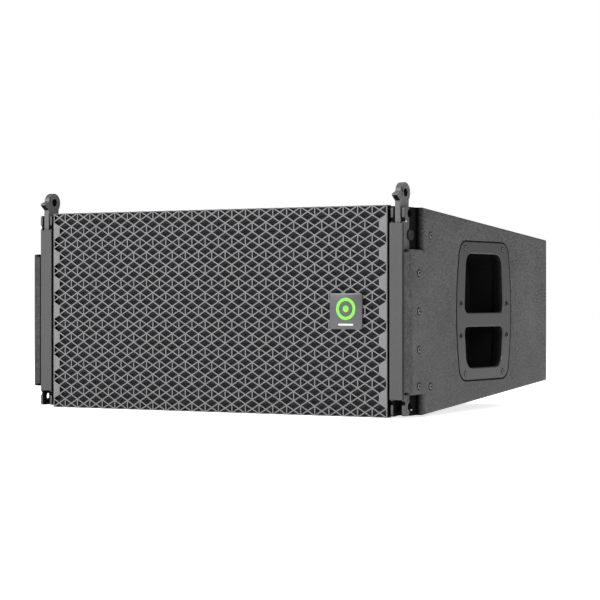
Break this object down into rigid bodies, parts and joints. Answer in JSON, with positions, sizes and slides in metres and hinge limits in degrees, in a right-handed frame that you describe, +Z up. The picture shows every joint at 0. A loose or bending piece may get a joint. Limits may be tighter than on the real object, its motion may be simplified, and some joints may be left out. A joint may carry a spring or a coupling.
{
  "type": "line array speaker",
  "caption": "Line array speaker: tapered black cabinet with a perforated steel front, side handles, sliding front links and a hinged rear link for hanging cabinets in a column.",
  "frame": {"origin": "on the floor plane of the object's bounding box, under the middle of its footprint", "axes": "+X to the right of someone who looks at the grille, -Y out of the grille, +Z up"},
  "size_m": [0.67, 0.5052, 0.3319],
  "materials": {
    "textured_paint": "birch plywood with rolled, textured black-grey water-based paint",
    "raw_plywood": "unpainted birch plywood",
    "powder_coat": "satin black-grey powder-coated steel",
    "black_oxide": "black-oxide steel",
    "zinc_plate": "bright zinc-plated steel",
    "moulded_handle": "moulded ABS, fine satin grain",
    "open_foam": "open-cell acoustic foam, dark grey",
    "badge_metal": null,
    "cast_basket": "black painted die-cast basket",
    "ferrite": "ferrite and painted steel",
    "cone_paper": "treated paper pulp, matt",
    "rubber": "matt rubber",
    "copper": "enamelled copper wire",
    "coil_former": "wound aluminium former",
    "spider_cloth": "phenolic-dipped cloth",
    "horn_plastic": "moulded waveguide, matt",
    "board_green": "circuit board",
    "socket_plastic": "moulded glass-filled nylon",
    "capacitor_film": "film capacitor"
  },
  "bodies": {
    "cabinet": {"back_panel": "textured_paint", "badge": "badge_metal", "bottom_panel": "textured_paint", "brace_left": "raw_plywood", "brace_right": "raw_plywood", "capacitor_high": "capacitor_film", "capacitor_low": "capacitor_film", "coil_high": "copper", "coil_low": "copper", "connector_in": "socket_plastic", "connector_link": "socket_plastic", "crossover_board": "board_green", "front_baffle": "raw_plywood", "front_grille": "powder_coat", "grille_foam": "open_foam", "guide_bolt_left": "black_oxide", "guide_bolt_right": "black_oxide", "handle_left": "moulded_handle", "handle_right": "moulded_handle", "hf_driver": "ferrite", "hf_waveguide": "horn_plastic", "input_plate": "powder_coat", "rail_channel_left": "powder_coat", "rail_channel_right": "powder_coat", "rail_cleat_left": "raw_plywood", "rail_cleat_right": "raw_plywood", "rail_cover_left": "powder_coat", "rail_cover_right": "powder_coat", "rear_bracket": "powder_coat", "rear_pivot_bolt": "black_oxide", "side_panel_left": "textured_paint", "side_panel_right": "textured_paint", "top_panel": "textured_paint", "woofer_basket_left": "cast_basket", "woofer_basket_right": "cast_basket", "woofer_magnet_left": "ferrite", "woofer_magnet_right": "ferrite", "woofer_spider_left": "spider_cloth", "woofer_spider_right": "spider_cloth", "woofer_surround_left": "rubber", "woofer_surround_right": "rubber"},
    "front_link_left": {"front_link_left": "powder_coat"},
    "front_link_right": {"front_link_right": "powder_coat"},
    "rear_link": {"rear_link": "powder_coat"},
    "rear_lock_pin": {"rear_lock_pin": "zinc_plate"},
    "woofer_left_cone": {"woofer_cone_left": "cone_paper", "voice_coil_left": "coil_former"},
    "woofer_right_cone": {"woofer_cone_right": "cone_paper", "voice_coil_right": "coil_former"}
  },
  "joints": [
    {"name": "front_link_left_slide", "type": "slide", "parent": "cabinet", "child": "front_link_left", "axis": [0, 0, 1], "range_m": [-0.03, 0]},
    {"name": "front_link_right_slide", "type": "slide", "parent": "cabinet", "child": "front_link_right", "axis": [0, 0, 1], "range_m": [-0.03, 0]},
    {"name": "rear_link_hinge", "type": "hinge", "parent": "cabinet", "child": "rear_link", "pos_m": [0, 0.23465, 0.215], "axis": [1, 0, 0], "range_deg": [0, 180]},
    {"name": "rear_lock_pin_slide", "type": "slide", "parent": "cabinet", "child": "rear_lock_pin", "axis": [1, 0, 0], "range_m": [0, 0.03]},
    {"name": "woofer_left_stroke", "type": "slide", "parent": "cabinet", "child": "woofer_left_cone", "axis": [0, 1, 0], "range_m": [-0.005, 0.005], "stiffness_N_per_m": 2200},
    {"name": "woofer_right_stroke", "type": "slide", "parent": "cabinet", "child": "woofer_right_cone", "axis": [0, 1, 0], "range_m": [-0.005, 0.005], "stiffness_N_per_m": 2200}
  ]
}
